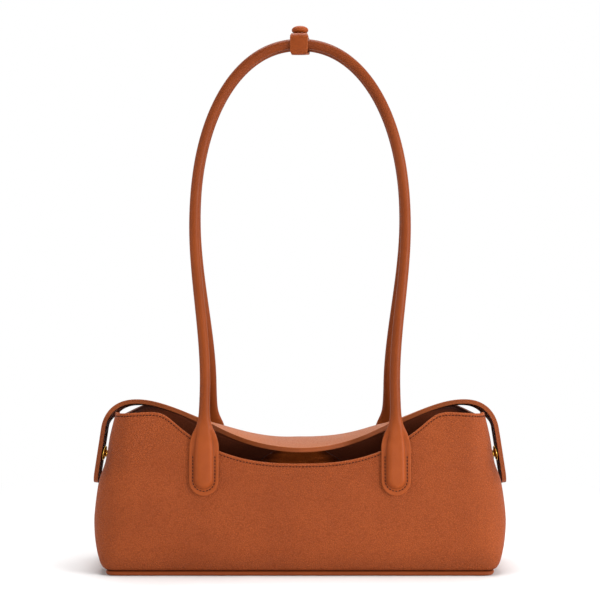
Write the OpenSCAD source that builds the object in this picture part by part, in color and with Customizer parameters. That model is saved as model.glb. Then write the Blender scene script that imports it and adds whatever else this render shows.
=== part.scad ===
/* [Body] */
// length of the bag at its widest, across both side panels
body_length = 316; // [290:1:350]
// depth of the bag at its belly, front to back
body_depth = 101; // [92:1:112]
// height of the front rim at the corner posts
post_height = 123.4; // [115:0.2:132]
// how far the front and back rims dip in the middle
rim_dip = 38.6; // [28:0.2:46]
// how much lower the back corners of the mouth sit than the front ones
back_drop = 6; // [0:0.5:8]
// how much higher the middle of the back rim sits than the front one
back_rise = 1.5; // [0:0.1:2]
// thickness of the outer leather
leather_thickness = 1.6; // [1.2:0.1:2.2]
// thickness of the lining and of the rim facings
lining_thickness = 0.8; // [0.6:0.1:1.2]
// width of the side panels between their two seams
gusset_width = 50; // [40:1:60]

/* [Base] */
// height of the seam between the base and the panels
base_height = 3.5; // [3:0.1:4.5]
// how far the piping stands out from that seam
piping_reach = 1.5; // [1:0.1:2]
// thickness of the leather under the base
base_thickness = 2; // [1.5:0.1:2.4]

/* [Handles] */
// thickness of a rolled handle
handle_diameter = 8; // [7:0.1:9]
// thickness of the leather rolled round the handle core
handle_leather = 1.2; // [0.8:0.1:1.5]
// height of the middle of the handle arch above the table
handle_height = 408.5; // [360:0.5:430]
// distance between the two tabs of one handle
tab_spacing = 144.2; // [130:0.2:160]
// how far the handle arch bows out past its tabs on each side
handle_bow = 10.6; // [4:0.2:14]
// height of the round arch at the top of a handle
arch_rise = 140.5; // [120:0.5:160]
// space between the two handles where they run together
handle_space = 1; // [0.8:0.1:2]

/* [Handle tabs] */
// width of a handle tab
tab_width = 22.4; // [19:0.2:25]
// length of a handle tab below the place where the handle bends
tab_length = 40.9; // [36:0.1:44]
// thickness of the tab leather
tab_thickness = 1.8; // [1.4:0.1:2.2]
// height of the padding inside a tab
pad_height = 3.3; // [2.6:0.1:3.8]
// how far a tab reaches past the rim before the handle bends
tab_over_rim = 2; // [1.5:0.1:4]

/* [Flap] */
// thickness of the flap, both plies together
flap_thickness = 3.3; // [2.4:0.1:4]
// width of the flap in the middle
flap_width = 85; // [78:0.5:88]
// width of the flap straps and ears
strap_width = 21; // [18:0.5:24]
// height of the top of the flap over the rim in the middle
flap_rise = 11.3; // [10:0.1:14]
// height of the top of the flap over the corner posts
shoulder_rise = 7; // [6:0.2:10]
// half the length of the wide middle of the flap
leaf_reach = 68; // [62:0.5:70]
// distance from the middle to the line where a flap wing folds
wing_fold = 88; // [87.5:0.5:92]
// how far below the top of the shoulder an ear bends
ear_fold_drop = 22.4; // [18:0.2:26]
// length of an ear below its bend
ear_length = 44.1; // [38:0.1:50]
// how far an ear leans out from upright, in degrees
ear_lean = 8.77; // [7:0.05:11]

/* [Flap hinge] */
// width of the hinge strip where it is sewn to the back
hinge_strip_width = 62; // [50:1:70]
// width of the hinge strip where it meets the flap
hinge_leaf_width = 36; // [30:1:40]
// thickness of the hinge strip
hinge_thickness = 1.2; // [1:0.1:1.5]
// distance of the hinge line behind the middle of the bag
hinge_back = 36.5; // [35:0.1:37]
// how far below the middle of the back rim the hinge strip leaves the back
hinge_drop = 11.8; // [9:0.1:14]

/* [Snaps] */
// diameter of the brass snap discs
snap_diameter = 9; // [7:0.1:11]
// thickness of the snap stud on the side panel
snap_stud_height = 1.9; // [1.5:0.1:2.4]
// thickness of the snap socket on the ear
snap_socket_height = 1.7; // [1.3:0.1:2.2]
// how far the snaps sit below the tops of the corner posts
snap_drop = 36.7; // [32:0.1:40]

/* [Keeper] */
// width of the keeper strap along the handles
keeper_width = 13.5; // [11:0.1:16]
// thickness of the keeper strap
keeper_thickness = 1.8; // [1.4:0.1:2.2]
// how far the keeper hangs below the handles
keeper_slack = 3.6; // [1:0.1:5]
// diameter of the covered button
button_diameter = 12.6; // [11:0.1:13.4]
// height of the covered button with its shank
button_height = 7.3; // [6:0.1:9]

/* [Inside pocket] */
// width of the inside pocket
pocket_width = 120; // [90:1:140]
// height of the inside pocket above the table at its mouth
pocket_top = 56; // [45:0.5:57]
// how far the pocket stands off the lining
pocket_depth = 8; // [7:0.1:10]

/* [Clearances] */
// space between parts that move against each other
moving_gap = 0.3; // [0.3:0.05:0.4]

/* [Hidden] */
$fn = 48;

cognac = [0.63, 0.32, 0.2];
saddle = [0.7, 0.42, 0.27];
lining_brown = [0.3, 0.17, 0.1];
brass = [0.85, 0.65, 0.3];
board_grey = [0.5, 0.48, 0.45];
felt_white = [0.85, 0.83, 0.78];

// Body section: half length, half depth and corner shape at height z.
half_length = body_length / 2;
half_depth = body_depth / 2;
seam_y = gusset_width / 2;
belly_length_z = base_height + 35.5;
belly_depth_z = base_height + 41.5;
function low_share(z, top) = max(0, 1 - (z - base_height) / (top - base_height));
function high_share(z, low) = max(0, (z - low) / (post_height - 1.4 - low));
function length_at(z) = half_length
  - 8.2 * pow(low_share(z, belly_length_z), 2.2)
  - 3.8 * pow(low_share(z, belly_length_z), 22)
  - 15.8 * pow(high_share(z, belly_length_z), 1.4);
function depth_at(z) = half_depth
  - 2.6 * pow(low_share(z, belly_depth_z), 2.2)
  - 2.4 * pow(low_share(z, belly_depth_z), 22)
  - 5.5 * pow(high_share(z, belly_depth_z), 1.5);
function corner_at(z) = 34
  - 18 * pow(low_share(z, belly_depth_z), 3)
  - 12 * high_share(z, belly_depth_z);
function corner_power(z) = 2.2
  + 2.8 * pow(low_share(z, belly_depth_z), 3)
  + 0.4 * high_share(z, belly_depth_z);

// Front rim height over the distance from the middle.
dip_reach = half_length - 55;
post_reach = half_length - 46;
// The dip's share at x, with a short round where it runs out.
function rim_share(x, power) = let(t = pow(abs(x) / dip_reach, power))
  1 - t / pow(1 + pow(t, 12), 1 / 12);
function outer_share(x) = max(0, min(1, (abs(x) - post_reach) / 30));
function front_rim(x) = post_height - rim_dip * rim_share(x, 2.6) - 1.9 * outer_share(x);
function back_rim(x) = post_height - (rim_dip - back_rise) * rim_share(x, 2.1) - 1.9 * outer_share(x)
  - back_drop * pow(max(0, min(1, (abs(x) - dip_reach - 23) / 16.3)), 1.2);
post_end = front_rim(half_length);
back_end = back_rim(half_length);
function side_rim(y) = let(t = (y + seam_y) / (2 * seam_y))
  post_end + (back_end - post_end) * t - 1.2 * 4 * t * (1 - t);

// Stations round the body: corner, straight run, corner.
corner_cells = 6;
run_cells = 16;
panel_cells = 2 * corner_cells + run_cells;
gusset_cells = 4;
rows = [0, 0.013, 0.036, 0.085, 0.18, 0.32, 0.48, 0.65, 0.82, 1];
row_count = len(rows) - 1;
facing_row = row_count - 1;

// Point of a corner: turn goes from 0 at the seam to 1 at the straight run.
function corner_x(turn, z, d) = length_at(z) - corner_at(z)
  + (corner_at(z) - d) * pow(max(0, cos(90 * turn)), 2 / corner_power(z));
function corner_y(turn, z, d) = seam_y
  + (depth_at(z) - seam_y - d) * pow(max(0, sin(90 * turn)), 2 / corner_power(z));
// Plan point of a front panel station, offset inward by d.
function panel_xy(i, z, d) =
  i < corner_cells ? [-corner_x(i / corner_cells, z, d), -corner_y(i / corner_cells, z, d)] :
  i <= corner_cells + run_cells ?
    [(length_at(z) - corner_at(z)) * (2 * (i - corner_cells) / run_cells - 1), -(depth_at(z) - d)] :
    [corner_x((panel_cells - i) / corner_cells, z, d), -corner_y((panel_cells - i) / corner_cells, z, d)];
function gusset_xy(i, z, d) = [length_at(z) - d, seam_y * (2 * i / gusset_cells - 1)];

rim_level = post_height - 2;
function panel_top(i, back) = let(x = panel_xy(i, rim_level, 0)[0])
  back ? back_rim(x) : front_rim(x);
function row_z(top, v) = base_height + (top - base_height) * v;
function panel_point(i, v, d, back) =
  let(z = row_z(panel_top(i, back), v), p = panel_xy(i, z, d))
  [p[0], p[1], z];
function gusset_point(i, v, d) =
  let(y = seam_y * (2 * i / gusset_cells - 1), z = row_z(side_rim(y), v), p = gusset_xy(i, z, d))
  [p[0], y, z];

function panel_grid(d, first, last, back) =
  [for (i = [0:panel_cells]) [for (j = [first:last]) panel_point(i, rows[j], d, back)]];
function gusset_grid(d, first, last) =
  [for (i = [0:gusset_cells]) [for (j = [first:last]) gusset_point(i, rows[j], d)]];

function flat(lists) = [for (a = lists) for (b = a) b];

// Closed solid between two grids of the same size. Seen from outside the first
// index of "outer" runs to the right and the second one runs up.
module skin(outer, inner) {
  n = len(outer);
  m = len(outer[0]);
  function o(i, j) = i * m + j;
  function k(i, j) = n * m + i * m + j;
  faces = concat(
    flat([for (i = [0:n - 2]) for (j = [0:m - 2]) [
      [o(i, j), o(i + 1, j + 1), o(i + 1, j)],
      [o(i, j), o(i, j + 1), o(i + 1, j + 1)],
      [k(i, j), k(i + 1, j), k(i + 1, j + 1)],
      [k(i, j), k(i + 1, j + 1), k(i, j + 1)]
    ]]),
    flat([for (i = [0:n - 2]) [
      [o(i, 0), o(i + 1, 0), k(i, 0)],
      [o(i + 1, 0), k(i + 1, 0), k(i, 0)],
      [o(i, m - 1), k(i, m - 1), o(i + 1, m - 1)],
      [o(i + 1, m - 1), k(i, m - 1), k(i + 1, m - 1)]
    ]]),
    flat([for (j = [0:m - 2]) [
      [o(0, j), k(0, j), o(0, j + 1)],
      [k(0, j), k(0, j + 1), o(0, j + 1)],
      [o(n - 1, j), o(n - 1, j + 1), k(n - 1, j)],
      [k(n - 1, j), o(n - 1, j + 1), k(n - 1, j + 1)]
    ]])
  );
  polyhedron(points = concat(flat(outer), flat(inner)), faces = faces, convexity = 8);
}

// Closed tube between rings: "loop" closes the last ring onto the first one, and
// "crossed" splits each quad along its other diagonal, as on a reversed tube.
module tube(rings, loop, crossed = false) {
  n = len(rings);
  m = len(rings[0]);
  last = loop ? n - 1 : n - 2;
  function p(i, j) = (i % n) * m + (j % m);
  faces = concat(
    flat([for (i = [0:last]) for (j = [0:m - 1]) crossed ? [
      [p(i, j), p(i + 1, j), p(i, j + 1)],
      [p(i + 1, j), p(i + 1, j + 1), p(i, j + 1)]
    ] : [
      [p(i, j), p(i + 1, j), p(i + 1, j + 1)],
      [p(i, j), p(i + 1, j + 1), p(i, j + 1)]
    ]]),
    loop ? [] : [
      [for (j = [0:m - 1]) p(0, j)],
      [for (j = [0:m - 1]) p(n - 1, m - 1 - j)]
    ]
  );
  polyhedron(points = flat(rings), faces = faces, convexity = 8);
}

module front_panel() {
  color(cognac)
    skin(panel_grid(0, 0, row_count, false), panel_grid(leather_thickness, 0, row_count, false));
}

module back_panel() {
  color(cognac)
    rotate([0, 0, 180])
      skin(panel_grid(0, 0, row_count, true), panel_grid(leather_thickness, 0, row_count, true));
}

module right_gusset() {
  color(cognac)
    skin(gusset_grid(0, 0, row_count), gusset_grid(leather_thickness, 0, row_count));
}

module left_gusset() {
  color(cognac)
    mirror([1, 0, 0])
      skin(gusset_grid(0, 0, row_count), gusset_grid(leather_thickness, 0, row_count));
}

inside = leather_thickness + lining_thickness;

module front_lining() {
  color(lining_brown)
    skin(panel_grid(leather_thickness, 0, facing_row, false), panel_grid(inside, 0, facing_row, false));
}

module back_lining() {
  color(lining_brown)
    rotate([0, 0, 180])
      skin(panel_grid(leather_thickness, 0, facing_row, true), panel_grid(inside, 0, facing_row, true));
}

module right_lining() {
  color(lining_brown)
    skin(gusset_grid(leather_thickness, 0, facing_row), gusset_grid(inside, 0, facing_row));
}

module left_lining() {
  color(lining_brown)
    mirror([1, 0, 0])
      skin(gusset_grid(leather_thickness, 0, facing_row), gusset_grid(inside, 0, facing_row));
}

module front_rim_facing() {
  color(cognac)
    skin(panel_grid(leather_thickness, facing_row, row_count, false),
      panel_grid(inside, facing_row, row_count, false));
}

module back_rim_facing() {
  color(cognac)
    rotate([0, 0, 180])
      skin(panel_grid(leather_thickness, facing_row, row_count, true),
        panel_grid(inside, facing_row, row_count, true));
}

module right_rim_facing() {
  color(cognac)
    skin(gusset_grid(leather_thickness, facing_row, row_count),
      gusset_grid(inside, facing_row, row_count));
}

module left_rim_facing() {
  color(cognac)
    mirror([1, 0, 0])
      skin(gusset_grid(leather_thickness, facing_row, row_count),
        gusset_grid(inside, facing_row, row_count));
}

// Closed outline of the body at height z, offset inward by d, counterclockwise.
function outline(z, d) = concat(
  [for (i = [0:panel_cells - 1]) panel_xy(i, z, d)],
  [for (i = [0:gusset_cells - 1]) gusset_xy(i, z, d)],
  [for (i = [0:panel_cells - 1]) -panel_xy(i, z, d)],
  [for (i = [0:gusset_cells - 1]) -gusset_xy(i, z, d)]
);

module base_panel() {
  color(cognac)
    linear_extrude(height = base_thickness)
      polygon(outline(base_height, leather_thickness));
}

module base_board() {
  color(board_grey)
    translate([0, 0, base_thickness])
      linear_extrude(height = base_height - base_thickness)
        polygon(outline(base_height, leather_thickness));
}

module floor_lining() {
  color(lining_brown)
    translate([0, 0, base_height])
      linear_extrude(height = lining_thickness)
        polygon(outline(base_height, inside));
}

// Piping section as [offset inward, height]: flat top and inside, round outside.
piping_foot = 0.15;
piping_mid = (base_height + piping_foot) / 2;
piping_half = (base_height - piping_foot) / 2;
piping_section = concat(
  [[leather_thickness, base_height], [leather_thickness, piping_foot]],
  [for (k = [0:6]) [-piping_reach * sin(30 * k), piping_mid - piping_half * cos(30 * k)]]
);

module base_piping() {
  color(saddle)
    tube([for (c = piping_section) [for (p = outline(base_height, c[0])) [p[0], p[1], c[1]]]], true);
}

// A slip pocket on the back lining, open at its top.
pocket_sheet = 0.8;
pocket_low = base_height + 12;
function pocket_stand(s, t) = pocket_depth
  * (1 - pow(abs(s), 6)) * min(1, 3 * t);
function pocket_side(s, t, d) = let(z = pocket_low + (pocket_top - pocket_low) * t)
  [s * pocket_width / 2, -(depth_at(z) - inside - pocket_stand(s, t) - d), z];

module inner_pocket() {
  color(lining_brown)
    rotate([0, 0, 180])
      skin([for (s = [-1, -0.9, -0.6, 0, 0.6, 0.9, 1]) [for (t = [0:0.2:1]) pocket_side(s, t, 0.05)]],
        [for (s = [-1, -0.9, -0.6, 0, 0.6, 0.9, 1]) [for (t = [0:0.2:1]) pocket_side(s, t, 0.05 + pocket_sheet)]]);
}

// Snaps: both discs face along the side panel's outward normal.
function unit(v) = v / norm(v);
// Outward normal of a line that runs outward and down.
function left_of(v) = [-v[1], v[0]];
function cross2(a, b) = a[0] * b[1] - a[1] * b[0];
snap_level = post_height - snap_drop;
snap_foot = [length_at(snap_level), snap_level];
side_way = unit([length_at(snap_level + 2) - length_at(snap_level - 2), 4]);
snap_out = [side_way[1], -side_way[0]];
snap_tilt = 90 + atan2(-snap_out[1], snap_out[0]);
seat_gap = 0.05;
ear_way = [sin(ear_lean), -cos(ear_lean)];
ear_out = left_of(ear_way);
snap_wedge = snap_diameter / 2 * abs(cross2(snap_out, ear_out));
snap_face = seat_gap + snap_stud_height;
snap_reach = snap_face + moving_gap + snap_socket_height + seat_gap + snap_wedge;

// Top line of the flap: a long sag, a round shoulder and a straight ear that
// lies on its snap.
flap_height = post_height - rim_dip + flap_rise;
shoulder_height = post_height + shoulder_rise;
ear_fold_height = shoulder_height - ear_fold_drop;
shoulder_x = half_length - 30.3;
shoulder_down = ear_fold_drop + 7.6;
shoulder_power = 2.3;
ear_turn = acos(pow((shoulder_down - ear_fold_drop) / shoulder_down, shoulder_power / 2));
ear_snap = snap_foot + snap_out * snap_reach + ear_out * flap_thickness;
ear_start = ear_snap + ear_way * (ear_snap[1] - ear_fold_height) / cos(ear_lean);
ear_end = ear_start + ear_way * ear_length;
shoulder_out = (ear_start[0] - shoulder_x) / pow(sin(ear_turn), 2 / shoulder_power);
function ease(t) = t * t * (3 - 2 * t);
function sag_point(x) = let(t = pow(min(1, x / shoulder_x), 1.25))
  [x, flap_height + (shoulder_height - flap_height) * ease(t)];
function shoulder_point(turn) = [
  shoulder_x + shoulder_out * pow(sin(turn), 2 / shoulder_power),
  shoulder_height - shoulder_down + shoulder_down * pow(cos(turn), 2 / shoulder_power)
];

// A station is [point, outward normal, half width].
function leaf_half(x) = strap_width / 2 + (flap_width - strap_width) / 2
  * pow(max(0, 1 - pow(min(1, x / leaf_reach), 1.35)), 0.85);
function sag_station(x) = [sag_point(x),
  left_of(unit(sag_point(x + 0.5) - sag_point(max(0, x - 0.5)))), leaf_half(x)];
function shoulder_station(turn) = [shoulder_point(turn),
  left_of(unit(shoulder_point(min(89, turn + 1)) - shoulder_point(max(0, turn - 1)))), strap_width / 2];
function ear_station(s) = let(e = max(0, s - (ear_length - strap_width / 2)), r = strap_width / 2)
  [ear_start + ear_way * s, ear_out, max(1.5, sqrt(max(0, r * r - e * e)))];

centre_xs = [0, 9, 18, 27, 36, 44, 51, 57, 62, 66, 72, 80, wing_fold];
half_centre = [for (x = centre_xs) x == 0 ? [sag_point(0), [0, 1], leaf_half(0)] : sag_station(x)];
wing_stations = concat(
  [for (k = [0:4]) sag_station(wing_fold + moving_gap + (shoulder_x - wing_fold - moving_gap) * k / 4.2)],
  [for (k = [0.6, 16, 32, 46, 58, 69]) shoulder_station(k)],
  [[ear_start, ear_out, strap_width / 2]]
);
ear_stations = concat(
  [for (s = [0, 0.4, 1]) ear_station(moving_gap + s * (ear_length - strap_width / 2 - moving_gap))],
  [for (e = [0.3, 0.55, 0.78, 0.92, 1]) ear_station(ear_length - strap_width / 2 * (1 - e))]
);
function mirrored(stations) = [for (k = [len(stations) - 1:-1:1])
  [[-stations[k][0][0], stations[k][0][1]], [-stations[k][1][0], stations[k][1][1]], stations[k][2]]];
full_centre = concat(mirrored(half_centre), half_centre);

// One ply between two depths below the top line. Across the width it is flat.
module ply(stations, upper, lower, inset = 0) {
  function at(s, depth, y) = let(p = s[0] - s[1] * depth) [p[0], y, p[1]];
  skin([for (s = stations) [at(s, upper, -s[2] + inset), at(s, upper, s[2] - inset)]],
    [for (s = stations) [at(s, lower, -s[2] + inset), at(s, lower, s[2] - inset)]]);
}

ply_thickness = flap_thickness / 2;

module flap_top() {
  color(saddle)
    ply(full_centre, 0, ply_thickness);
}

module flap_underside() {
  color(cognac)
    ply(full_centre, ply_thickness, flap_thickness);
}

module right_wing_top() {
  color(saddle)
    ply(wing_stations, 0, ply_thickness);
}

module right_wing_underside() {
  color(cognac)
    ply(wing_stations, ply_thickness, flap_thickness);
}

module right_ear_top() {
  color(saddle)
    ply(ear_stations, 0, ply_thickness);
}

module right_ear_underside() {
  color(cognac)
    ply(ear_stations, ply_thickness, flap_thickness);
}

module left_wing_top() {
  mirror([1, 0, 0])
    right_wing_top();
}

module left_wing_underside() {
  mirror([1, 0, 0])
    right_wing_underside();
}

module left_ear_top() {
  mirror([1, 0, 0])
    right_ear_top();
}

module left_ear_underside() {
  mirror([1, 0, 0])
    right_ear_underside();
}

// Hinge strip: sewn inside the back panel, it rises forward to the flap.
hinge_z = flap_height - flap_thickness - 0.2;
strip_bend = post_height - rim_dip - hinge_drop;
strip_low = strip_bend - 15;
function strip_half(z) = z <= strip_bend ? hinge_strip_width / 2 :
  hinge_strip_width / 2
  + (hinge_leaf_width - hinge_strip_width) / 2 * (z - strip_bend) / (hinge_z - strip_bend);
strip_slope = (hinge_z - strip_bend) / (depth_at(strip_bend) - inside - hinge_back);
strip_drop = hinge_thickness * sqrt(1 + strip_slope * strip_slope);
strip_side = [for (z = [strip_low, strip_bend - 7.5, strip_bend]) [depth_at(z) - inside - 0.05, z, strip_half(z)]];
strip_inner = [for (z = [strip_low, strip_bend - 7.5, strip_bend - 2])
  [depth_at(z) - inside - 0.05 - hinge_thickness, z, strip_half(z)]];

module hinge_strip() {
  function across(list) = [for (s = [1, -1]) [for (p = list) [s * p[2], p[0], p[1]]]];
  color(cognac)
    skin(across(concat(strip_side, [[hinge_back, hinge_z, hinge_leaf_width / 2]])),
      across(concat(strip_inner, [[hinge_back, hinge_z - strip_drop, hinge_leaf_width / 2]])));
}

leaf_front = hinge_back - 13;
module hinge_leaf() {
  xs = [for (k = [-4:4]) k * hinge_leaf_width / 8];
  function at(x, depth, y) = let(s = sag_station(abs(x)), n = x == 0 ? [0, 1] : s[1],
    p = s[0] - n * depth) [x < 0 ? -p[0] : p[0], y, p[1]];
  color(cognac)
    skin([for (x = xs) [at(x, flap_thickness + 0.05, leaf_front),
        at(x, flap_thickness + 0.05, hinge_back - moving_gap)]],
      [for (x = xs) [at(x, flap_thickness + 0.05 + hinge_thickness, leaf_front),
        at(x, flap_thickness + 0.05 + hinge_thickness, hinge_back - moving_gap)]]);
}

module along_snap(from) {
  translate([snap_foot[0] + snap_out[0] * from, 0, snap_foot[1] + snap_out[1] * from])
    rotate([0, snap_tilt, 0])
      children();
}

module right_snap_stud() {
  color(brass)
    along_snap(seat_gap)
      cylinder(d = snap_diameter, h = snap_stud_height);
}

module right_snap_socket() {
  color(brass)
    along_snap(snap_face + moving_gap)
      cylinder(d = snap_diameter, h = snap_socket_height);
}

module right_snap_washer() {
  color(brass)
    along_snap(-inside - 0.9)
      cylinder(d = snap_diameter + 3, h = 0.8);
}

module left_snap_stud() {
  mirror([1, 0, 0])
    right_snap_stud();
}

module left_snap_socket() {
  mirror([1, 0, 0])
    right_snap_socket();
}

module left_snap_washer() {
  mirror([1, 0, 0])
    right_snap_washer();
}

// Handle tabs on the front, one on each side. They end where the handle bends.
tab_x = tab_spacing / 2;
tab_top = front_rim(tab_x) + tab_over_rim;
tab_low = tab_top - tab_length;
root_half = handle_diameter / 2 + 5.4;
pad_share = 0.66;
function tab_half(z) = z > tab_top - 6 ?
  root_half + (tab_width / 2 - root_half) * ease((tab_top - z) / 6) :
  z < tab_low + tab_width / 2 ?
    sqrt(pow(tab_width / 2, 2) - pow(tab_low + tab_width / 2 - max(z, tab_low + 0.3), 2)) :
    tab_width / 2;
pad_half = pad_share * tab_width / 2;
pad_centre = tab_low + 4.2 + pad_half;
function pad_rise(s, z) = let(
  across = abs(s) / pad_share,
  down = max(0, pad_centre - z) / pad_half,
  r = sqrt(pow(abs(s) * tab_half(z) / (z < pad_centre ? pad_half : pad_share * tab_half(z)), 2) + down * down))
  pad_height * sqrt(max(0, 1 - pow(min(1, z < pad_centre ? r : across), 2.4)));
tab_zs = concat([for (k = [0, 0.03, 0.12]) tab_low + tab_width * k],
  [tab_low + 4.2, tab_low + 6, pad_centre - 2.4, pad_centre + 1.5],
  [for (k = [0.3, 0.6, 0.8, 0.9, 1]) pad_centre + 1.5 + (tab_top - pad_centre - 1.5) * k]);
tab_us = [-1, -0.66, -0.42, 0, 0.42, 0.66, 1];
pad_first = 3;
pad_edge = 0.35;
// Height of the padding under the tab leather.
function pad_top(k, n) = k < 1 || k > len(tab_us) - 2 || n < pad_first ? 0 :
  pad_edge + pad_rise(tab_us[k], tab_zs[n]) * (pad_height - pad_edge) / pad_height;
function tab_point(s, z, out) = [s * tab_half(z), -(depth_at(z) + 0.02 + out), z];

function tab_grid(first, last, low, lift) = [for (k = [first:last])
  [for (n = [low:len(tab_zs) - 1]) tab_point(tab_us[k], tab_zs[n], lift + pad_top(k, n))]];

module tab_at(x) {
  color(cognac)
    translate([x, 0, 0])
      skin(tab_grid(0, len(tab_us) - 1, 0, tab_thickness), tab_grid(0, len(tab_us) - 1, 0, 0));
}

module pad_at(x) {
  last = len(tab_us) - 2;
  color(felt_white)
    translate([x, 0, 0])
      skin(tab_grid(1, last, pad_first, 0),
        [for (k = [1:last]) [for (n = [pad_first:len(tab_zs) - 1]) tab_point(tab_us[k], tab_zs[n], 0)]]);
}

module front_left_tab() {
  tab_at(-tab_x);
}

module front_right_tab() {
  tab_at(tab_x);
}

module back_left_tab() {
  mirror([0, 1, 0])
    tab_at(-tab_x);
}

module back_right_tab() {
  mirror([0, 1, 0])
    tab_at(tab_x);
}

module front_left_tab_pad() {
  pad_at(-tab_x);
}

module front_right_tab_pad() {
  pad_at(tab_x);
}

module back_left_tab_pad() {
  mirror([0, 1, 0])
    pad_at(-tab_x);
}

module back_right_tab_pad() {
  mirror([0, 1, 0])
    pad_at(tab_x);
}

// Handle middle line: legs that lean inward, then a wide arch.
handle_radius = handle_diameter / 2;
pair_y = handle_radius + handle_space / 2;
root_z = tab_top + moving_gap;
bend_y = depth_at(tab_top) + 0.02 + tab_thickness + pad_height;
root_thin = 2.35;
root_y = bend_y - 0.03 - root_thin;
arch_z = handle_height - arch_rise;
arch_power = 2.15;
lean_z = root_z + 23.7;
close_z = arch_z + 34;
lean_y = root_y - 6.08;
lean_start = lean_z - 8;
function lean_share(z) = pow(max(0, 1 - (z - lean_start) / (close_z - lean_start)), 1.6);
lean_scale = (lean_y - pair_y) / lean_share(lean_z);
lean_slope = (lean_share(lean_z + 0.1) - lean_share(lean_z - 0.1)) / 0.2 * lean_scale * (lean_z - root_z);
function handle_y(z) = z >= lean_z ? pair_y + lean_scale * lean_share(z) :
  let(t = (z - root_z) / (lean_z - root_z))
  root_y * (1 - 3 * t * t + 2 * t * t * t) + lean_y * (3 * t * t - 2 * t * t * t)
  + lean_slope * (t * t * t - t * t);
function leg_x(z) = tab_x + handle_bow * ease(max(0, min(1, (z - root_z - 38) / (arch_z - root_z - 38))));
arch_half = tab_x + handle_bow;
function arch_xz(turn) = [
  arch_half * pow(cos(turn), 2 / arch_power),
  arch_z + (handle_height - arch_z) * pow(sin(turn), 2 / arch_power)
];
leg_zs = [for (k = [0, 0.02, 0.047, 0.083, 0.155, 0.26, 0.4, 0.56, 0.75, 0.92])
  root_z + (arch_z - root_z) * k];
half_path = concat(
  [for (z = leg_zs) [leg_x(z), -handle_y(z), z]],
  [for (turn = [2, 11, 23, 35, 47, 59, 71, 82]) let(p = arch_xz(turn)) [p[0], -handle_y(p[1]), p[1]]]
);
half_count = len(half_path);
handle_path = concat(half_path, [[0, -pair_y, handle_height]],
  [for (k = [half_count - 1:-1:0]) [-half_path[k][0], half_path[k][1], half_path[k][2]]]);
path_count = len(handle_path);
function path_way(k) = k == 0 ? [0, 0, 1] : k == path_count - 1 ? [0, 0, -1] :
  unit(handle_path[k + 1] - handle_path[k - 1]);
function root_share(z, reach) = exp(-(z - root_z) / reach);
function wide_at(z) = handle_radius + (root_half - handle_radius) * root_share(z, 5.2);
function thick_at(z) = handle_radius
  - (handle_radius - root_thin) * exp(-pow((z - root_z) / 9, 2));
ring_sides = 10;
function handle_ring(k, skin_depth) = let(
  p = handle_path[k],
  way = path_way(k),
  side = unit(cross(way, [0, 1, 0])),
  back = cross(side, way))
  [for (a = [0:ring_sides - 1]) p
    + side * (wide_at(p[2]) - skin_depth) * cos(360 * a / ring_sides)
    + back * (thick_at(p[2]) - skin_depth) * sin(360 * a / ring_sides)];

// Leather tube round the core: an outer and an inner skin joined at both ends.
module handle_skin() {
  outer = [for (k = [0:path_count - 1]) handle_ring(k, 0)];
  inner = [for (k = [path_count - 1:-1:0]) handle_ring(k, handle_leather)];
  tube(concat(outer, inner), true);
}

module handle_fill() {
  tube([for (k = [0:path_count - 1]) handle_ring(k, handle_leather)], false, true);
}

module front_handle() {
  color(cognac)
    handle_skin();
}

module front_handle_core() {
  color(felt_white)
    handle_fill();
}

module back_handle() {
  color(cognac)
    rotate([0, 0, 180])
      handle_skin();
}

module back_handle_core() {
  color(felt_white)
    rotate([0, 0, 180])
      handle_fill();
}

// Keeper: a strap round both handles, closed over the top by a button tab.
keeper_in_y = pair_y + handle_radius + moving_gap;
keeper_out_y = keeper_in_y + keeper_thickness;
keeper_top = handle_height + handle_radius + moving_gap;
keeper_low = handle_height - handle_radius - keeper_slack - keeper_thickness;
tab_under = keeper_top + keeper_thickness + moving_gap;
tab_over = tab_under + keeper_thickness;
tab_reach = button_diameter / 2 + 0.4;

module extrude_x(width) {
  rotate([90, 0, 90])
    translate([0, 0, -width / 2])
      linear_extrude(height = width)
        children();
}

module keeper_strap() {
  color(cognac)
    extrude_x(keeper_width)
      polygon([
        [moving_gap - keeper_in_y, keeper_low],
        [keeper_out_y - 1.5, keeper_low],
        [keeper_out_y, keeper_low + 1.5],
        [keeper_out_y, keeper_top + keeper_thickness - 1.5],
        [keeper_out_y - 1.5, keeper_top + keeper_thickness],
        [0.8 - keeper_in_y, keeper_top + keeper_thickness],
        [0.8 - keeper_in_y, keeper_top],
        [keeper_in_y, keeper_top],
        [keeper_in_y, keeper_low + keeper_thickness],
        [moving_gap - keeper_in_y, keeper_low + keeper_thickness]
      ]);
}

module keeper_tab() {
  color(cognac)
    extrude_x(keeper_width)
      polygon([
        [-keeper_out_y, keeper_low],
        [-keeper_in_y, keeper_low],
        [-keeper_in_y, tab_under],
        [tab_reach, tab_under],
        [tab_reach, tab_over],
        [1.5 - keeper_out_y, tab_over],
        [-keeper_out_y, tab_over - 1.5]
      ]);
}

shank_height = 0.2 * button_height;
module keeper_shank() {
  color(brass)
    translate([0, 0, tab_over])
      cylinder(d = button_diameter * 0.4, h = shank_height);
}

module keeper_button() {
  dome = button_height - shank_height;
  r = button_diameter / 2;
  color(cognac)
    translate([0, 0, tab_over + shank_height])
      rotate_extrude()
        polygon(concat([[0, 0], [r - 0.9, 0]],
          [for (a = [0:12:84]) [r * cos(a) - 0.05 * sin(a), 0.7 + (dome - 0.7) * sin(a)]],
          [[0, dome]]));
}

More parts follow.
